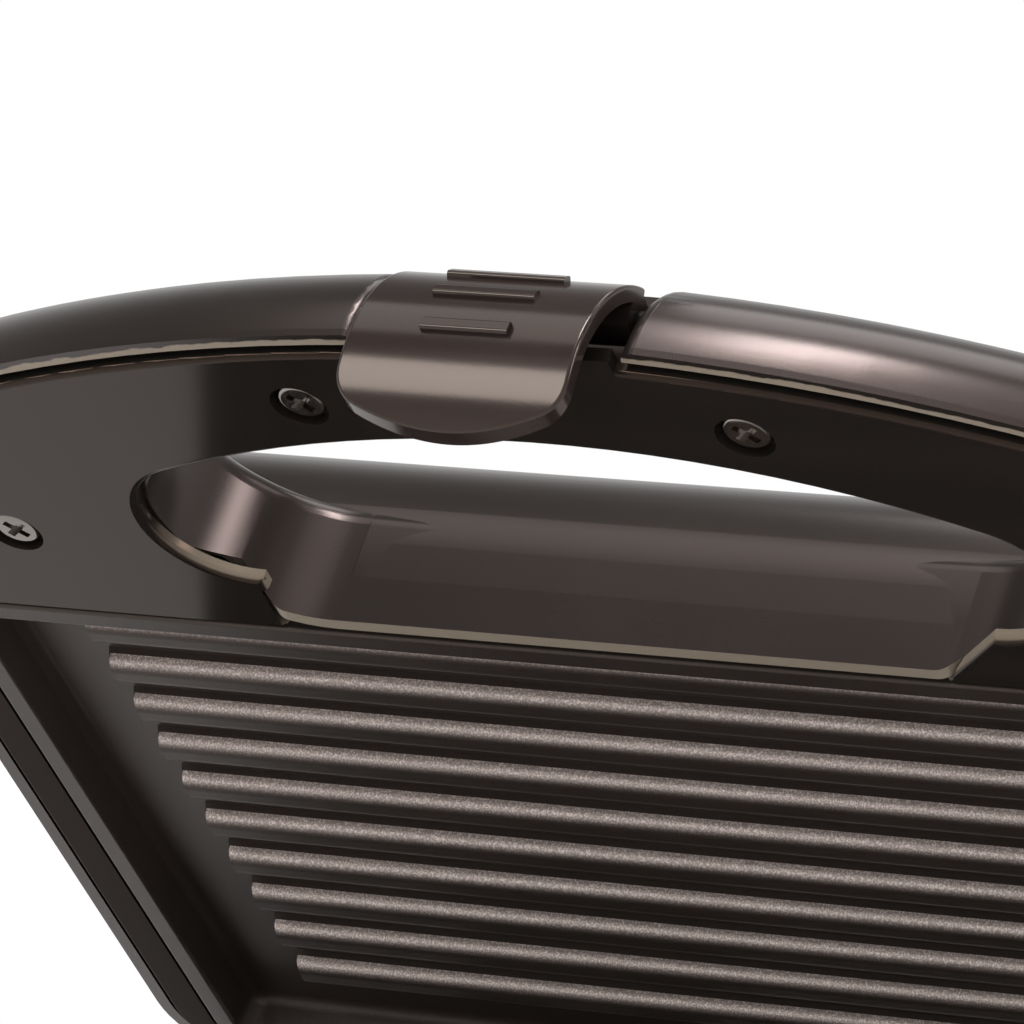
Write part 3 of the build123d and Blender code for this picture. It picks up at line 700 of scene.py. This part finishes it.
@dataclass(frozen=True)
class TintedLens:
    """Clear tinted plastic of an indicator."""

    name: str
    colour: Colour
    pale: Colour
    roughness: float = 0.08
    clearness: float = 0.55
    refraction: float = 1.49
    grain: float = 1500.0
    relief: float = 0.05
    depth: float = 0.00008

    def make(self) -> bpy.types.Material:
        """Builds the finish.

        Returns:
            The material.
        """
        paint = Paint(self.name)
        surface = paint.group(GROUPS.moulding(), Grain=self.grain)
        colour = paint.blend(surface.outputs["Tone"], self.colour, self.pale)
        paint.graph.link(colour, paint.shader.inputs["Base Color"])
        paint.shader.inputs["Roughness"].default_value = self.roughness
        paint.shader.inputs["Transmission Weight"].default_value = self.clearness
        paint.shader.inputs["IOR"].default_value = self.refraction
        paint.bump(surface.outputs["Height"], self.relief, self.depth)
        return paint.material


def dress(node: str, material: bpy.types.Material) -> None:
    """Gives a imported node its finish.

    Args:
        node: The node's name.
        material: The finish.
    """
    data = frame["nodes"][node].data
    data.materials.clear()
    data.materials.append(material)
    log.info("dressed %s with %s", node, material.name)


@dataclass
class HalfPress:
    """One half of the press: housing, inner cover, plate and what is behind it."""

    half: Half
    prefix: str
    shell_colour: Colour = linear(32, 28, 25)
    shell_pale: Colour = linear(36, 31, 28)
    rim_colour: Colour = linear(148, 136, 121)
    lip_colour: Colour = linear(130, 119, 105)
    cover_colour: Colour = linear(31, 28, 25)
    cover_pale: Colour = linear(34, 30, 27)
    cover_tint: Colour = (1.0, 0.62, 0.46)
    cover_specular: float = 0.27
    cover_relief: float = 0.05
    plate_colour: Colour = linear(42, 36, 33)
    plate_pale: Colour = linear(58, 50, 46)
    # Light colours painted on the ribs' sides and shoulders as a highlight streak.
    plate_painted_highlight: Colour = linear(240, 226, 219)
    plate_painted_highlight_dark: Colour = linear(172, 158, 151)
    plate_roughness: float = 0.40
    rib_end_margin: float = 0.0183
    rib_front_margin: float = 0.0076
    rib_rear_margin: float = 0.0120

    def dress(self) -> None:
        """Dresses the nodes of this half and builds its fairings."""
        self._dress_housing()
        self._dress_plate()
        self._dress_fittings()

    def _dress_housing(self) -> None:
        """Dresses the housing, its fairings and the inner cover."""
        name = self.half.value
        housing = MouldedPlastic(
            f"{name}_satin_housing", self.shell_colour, self.shell_pale, Polish.SATIN, self.half,
            bare=BareRim(self.rim_colour)).make()
        dress(f"{name}_shell", housing)
        WellFairing(self.half).build(housing)
        dress(f"{name}_inner_cover", MouldedPlastic(
            f"{name}_gloss_cover", self.cover_colour, self.cover_pale, Polish.GLOSS, self.half,
            tint=self.cover_tint, specular=self.cover_specular, bare=HoleLip(self.lip_colour),
            dull=DullSides(), relief=self.cover_relief).make())

    def _dress_plate(self) -> None:
        """Dresses the plate. The lower one lies flat, so its box gives the ribs' limits for both."""
        low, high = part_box("lower_plate")
        # The plate's coat carries a painted highlight streak on the ribs.
        dress(f"{self.prefix}_plate", CoatedCasting(
            f"{self.prefix}_plate_coat", self.plate_colour, self.plate_pale, self.plate_painted_highlight,
            self.plate_painted_highlight_dark, self.plate_roughness, self.half,
            rib_half=high[0] - self.rib_end_margin,
            rib_front=HINGE.y - low[1] - self.rib_front_margin,
            rib_rear=HINGE.y - high[1] + self.rib_rear_margin).make())

    def _dress_fittings(self) -> None:
        """Dresses the element, the reflector and the screws."""
        back = self.prefix
        name = self.half.value
        sheath = WorkedMetal(f"{back}_sheath", linear(92, 86, 82), linear(120, 108, 96), roughness=0.5)
        sheet = WorkedMetal(
            f"{back}_bright_sheet", linear(200, 200, 200), linear(216, 216, 214), roughness=0.25)
        steel = WorkedMetal(
            f"{name}_dark_screws", linear(124, 118, 114), linear(152, 145, 139), roughness=0.14).make()
        dress(f"{back}_element", sheath.make())
        dress(f"{back}_reflector", sheet.make())
        dress(f"{back}_plate_screws", steel)
        dress(f"{name}_cover_screws", steel)


@dataclass
class WellFairing:
    """Runs the wall of the finger well out on the front of the dome, at both ends of a half."""

    half: Half
    start: float = 0.0476
    run: float = 0.0330
    front: float = 0.14415
    back: float = 0.1395
    low: float = 0.0080
    high: float = 0.0213
    edge: float = 0.0040
    edge_steps: int = 8
    sink: float = 0.00125
    weld: float = 1e-6
    crease: float = math.radians(30.0)

    def build(self, material: bpy.types.Material) -> None:
        """Builds both fairings as one piece of the half's housing.

        Args:
            material: The housing's finish.
        """
        bm = bmesh.new()
        middle = Vector((
            self.start - self.run / 2, (self.front + self.back) / 2, (self.low + self.high) / 2))
        size = (self.run, self.front - self.back, self.high - self.low, 1.0)
        bmesh.ops.create_cube(bm, size=1.0, matrix=Matrix.Translation(middle) @ Matrix.Diagonal(size))
        crest = [edge for edge in bm.edges
                 if all(end.co.y > middle.y and end.co.z > middle.z for end in edge.verts)]
        bmesh.ops.bevel(bm, geom=crest, offset=self.edge, offset_type="OFFSET", affect="EDGES",
                        segments=self.edge_steps, profile=0.5, material=-1)
        tail = [vert for vert in bm.verts if vert.co.x < middle.x]
        bmesh.ops.translate(bm, verts=tail, vec=(0.0, -self.sink, 0.0))
        whole = bm.verts[:] + bm.edges[:] + bm.faces[:]
        bmesh.ops.mirror(bm, geom=whole, axis="X", merge_dist=self.weld)
        across, reach, out = half_axes(self.half)
        turn = Matrix((across, reach, out)).transposed().to_4x4()
        bmesh.ops.transform(bm, matrix=Matrix.Translation(HINGE) @ turn, verts=bm.verts[:])
        bmesh.ops.recalc_face_normals(bm, faces=bm.faces[:])
        for face in bm.faces:
            face.smooth = True
        for edge in bm.edges:
            edge.smooth = edge.calc_face_angle(0.0) < self.crease
        name = f"{self.half.value}_well_fairing"
        mesh = bpy.data.meshes.new(name)
        bm.to_mesh(mesh)
        bm.free()
        mesh.materials.append(material)
        piece = bpy.data.objects.new(name, mesh)
        bpy.context.scene.collection.objects.link(piece)
        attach(piece, self.half.value)
        log.info("built %s", name)


@dataclass
class SmallPieces:
    """Hinge pins, latch, feet, indicators and the electrical pieces."""

    clip_colour: Colour = linear(42, 34, 32)
    clip_pale: Colour = linear(47, 38, 36)
    clip_tint: Colour = (1.0, 0.83, 0.72)

    def dress(self) -> None:
        """Dresses the small nodes."""
        clip = MouldedPlastic("clip_plastic", self.clip_colour, self.clip_pale, Polish.SOFT, Half.LID,
                              tint=self.clip_tint)
        bright = WorkedMetal("bright_pins", linear(176, 176, 178), linear(196, 196, 196), roughness=0.2)
        black = WorkedMetal("blackened_pin", linear(44, 42, 42), linear(56, 54, 52), roughness=0.4)
        ceramic = DullMoulding("steatite", linear(226, 220, 206), linear(236, 231, 220), roughness=0.55)
        rubber = DullMoulding("foot_rubber", linear(38, 37, 36), linear(50, 48, 47), roughness=0.68)
        red = TintedLens("red_lens", linear(188, 26, 20), linear(206, 40, 30))
        green = TintedLens("green_lens", linear(24, 140, 54), linear(40, 160, 70))
        glass = TintedLens("lamp_glass", linear(226, 224, 214), linear(236, 234, 226))
        for finish, nodes in (
            (clip, ["latch_clip"]),
            (bright, ["hinge_pins"]),
            (black, ["latch_pin"]),
            (ceramic, ["thermostat", "terminal_block"]),
            (rubber, ["rubber_feet", "cord_inlet_bush"]),
            (red, ["power_lens"]),
            (green, ["ready_lens"]),
            (glass, ["indicator_lamps"]),
        ):
            material = finish.make()
            for node in nodes:
                dress(node, material)


PRESS_MIDDLE = (0.0, -0.03, 0.15)


@dataclass(frozen=True)
class Softbox:
    """A soft rectangular lamp, by its place and the brightness of its face."""

    name: str
    place: Place
    width: float
    height: float
    radiance: float
    target: Place = PRESS_MIDDLE

    def hang(self) -> None:
        """Hangs the lamp and turns it to its target."""
        data = bpy.data.lights.new(self.name, "AREA")
        data.shape = "RECTANGLE"
        data.size = self.width
        data.size_y = self.height
        data.energy = self.radiance * math.pi * self.width * self.height
        lamp = bpy.data.objects.new(self.name, data)
        lamp.location = self.place
        aim = Vector(self.target) - Vector(self.place)
        lamp.rotation_euler = aim.to_track_quat("-Z", "Y").to_euler()
        bpy.context.scene.collection.objects.link(lamp)
        log.info("hung %s", self.name)


SOFTBOXES = (
    Softbox("key_softbox", (-0.650, -0.924, 1.163), width=0.80, height=0.515, radiance=7.0),
    Softbox("overhead_softbox", (-0.14, 0.10, 1.45), width=0.18, height=0.46, radiance=27.0,
            target=(-0.14, 0.10, 0.0)),
    Softbox("ceiling_panel", (-0.567, 0.105, 1.365), width=0.60, height=0.50, radiance=1.3),
    Softbox("right_softbox", (1.245, 0.225, 0.96), width=0.15, height=0.60, radiance=22.0),
    Softbox("front_panel", (0.25, -1.50, 1.75), width=2.6, height=2.2, radiance=0.55),
    Softbox("rear_softbox", (0.62, 0.71, 1.30), width=0.5, height=0.5, radiance=2.0),
    Softbox("back_panel", (-0.21, 0.80, 1.18), width=0.42, height=0.60, radiance=2.4),
    Softbox("overhead_panel", (-0.05, 0.0, 1.50), width=0.70, height=0.80, radiance=1.5,
            target=(-0.05, 0.0, 0.0)),
)


@dataclass
class Studio:
    """Floor, lamps, world and camera."""

    floor_half: float = 6.0
    floor_tone: float = 0.86
    floor_fade: Span = (0.24, 0.38)
    horizon: float = 1.0
    ceiling: float = 0.22
    sky_fade: Span = (0.10, 0.65)
    camera_place: Place = (0.43978, -0.97059, 0.34610)
    right: Place = (0.9040, 0.4276, -0.0027)
    down: Place = (0.0687, -0.1515, -0.9860)
    sensor: float = 36.0
    lens: float = 271.14
    clip_start: float = 0.01

    @staticmethod
    def _seen(graph: Graph) -> bpy.types.NodeSocket:
        """A mask that is 1 for rays that show the background.

        Args:
            graph: The graph.

        Returns:
            The mask.
        """
        path = graph.node("ShaderNodeLightPath")
        seen = graph.math("MAXIMUM", path.outputs["Is Camera Ray"], path.outputs["Is Glossy Ray"])
        return graph.math("MAXIMUM", seen, path.outputs["Is Transmission Ray"])

    def floor(self) -> None:
        """Lays a pale floor that fades to white away from the press."""
        mesh = bpy.data.meshes.new("floor")
        bm = bmesh.new()
        bmesh.ops.create_grid(bm, x_segments=1, y_segments=1, size=self.floor_half)
        bm.to_mesh(mesh)
        bm.free()
        plane = bpy.data.objects.new("floor", mesh)
        bpy.context.scene.collection.objects.link(plane)
        material = bpy.data.materials.new("pale_floor")
        material.use_nodes = True
        graph = Graph(material.node_tree)
        graph.tree.nodes.clear()
        out = graph.node("ShaderNodeOutputMaterial")
        matte = graph.node("ShaderNodeBsdfDiffuse")
        matte.inputs["Color"].default_value = (self.floor_tone, self.floor_tone, self.floor_tone, 1.0)
        white = graph.node("ShaderNodeEmission")
        white.inputs["Strength"].default_value = 1.0
        length = graph.node("ShaderNodeVectorMath", operation="LENGTH")
        graph.link(graph.node("ShaderNodeTexCoord").outputs["Object"], length.inputs[0])
        away = graph.rise(length.outputs["Value"], self.floor_fade)
        mix = graph.node("ShaderNodeMixShader")
        graph.link(graph.product(away, self._seen(graph)), mix.inputs["Fac"])
        graph.link(matte.outputs[0], mix.inputs[1])
        graph.link(white.outputs[0], mix.inputs[2])
        graph.link(mix.outputs[0], out.inputs["Surface"])
        mesh.materials.append(material)

    def world(self) -> None:
        """Lights the press from a white horizon under a dimmer ceiling."""
        world = bpy.data.worlds.new("studio")
        bpy.context.scene.world = world
        world.use_nodes = True
        graph = Graph(world.node_tree)
        graph.tree.nodes.clear()
        out = graph.node("ShaderNodeOutputWorld")
        light = graph.node("ShaderNodeBackground")
        split = graph.node("ShaderNodeSeparateXYZ")
        graph.link(graph.node("ShaderNodeTexCoord").outputs["Generated"], split.inputs[0])
        strength = graph.spread(split.outputs["Z"], *self.sky_fade, self.horizon, self.ceiling)
        graph.link(strength, light.inputs["Strength"])
        graph.link(light.outputs[0], out.inputs["Surface"])

    def camera(self) -> None:
        """Puts the camera where the photograph was taken from."""
        data = bpy.data.cameras.new("photo_camera")
        data.sensor_width = self.sensor
        data.lens = self.lens
        data.clip_start = self.clip_start
        right = Vector(self.right).normalized()
        up = -Vector(self.down)
        up = (up - right * up.dot(right)).normalized()
        turn = Matrix((right, up, right.cross(up))).transposed().to_4x4()
        camera = bpy.data.objects.new("photo_camera", data)
        camera.matrix_world = Matrix.Translation(self.camera_place) @ turn
        bpy.context.scene.collection.objects.link(camera)
        bpy.context.scene.camera = camera

    def build(self) -> None:
        """Sets up the whole studio."""
        bpy.context.scene.view_settings.view_transform = "Standard"
        self.floor()
        self.world()
        for softbox in SOFTBOXES:
            softbox.hang()
        self.camera()


def main() -> None:
    """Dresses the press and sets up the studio."""
    logging.basicConfig(level=logging.INFO, format="%(name)s: %(message)s")
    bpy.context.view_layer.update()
    HalfPress(Half.BASE, "lower").dress()
    HalfPress(Half.LID, "upper").dress()
    SmallPieces().dress()
    Studio().build()


if __name__ == "__main__":
    main()
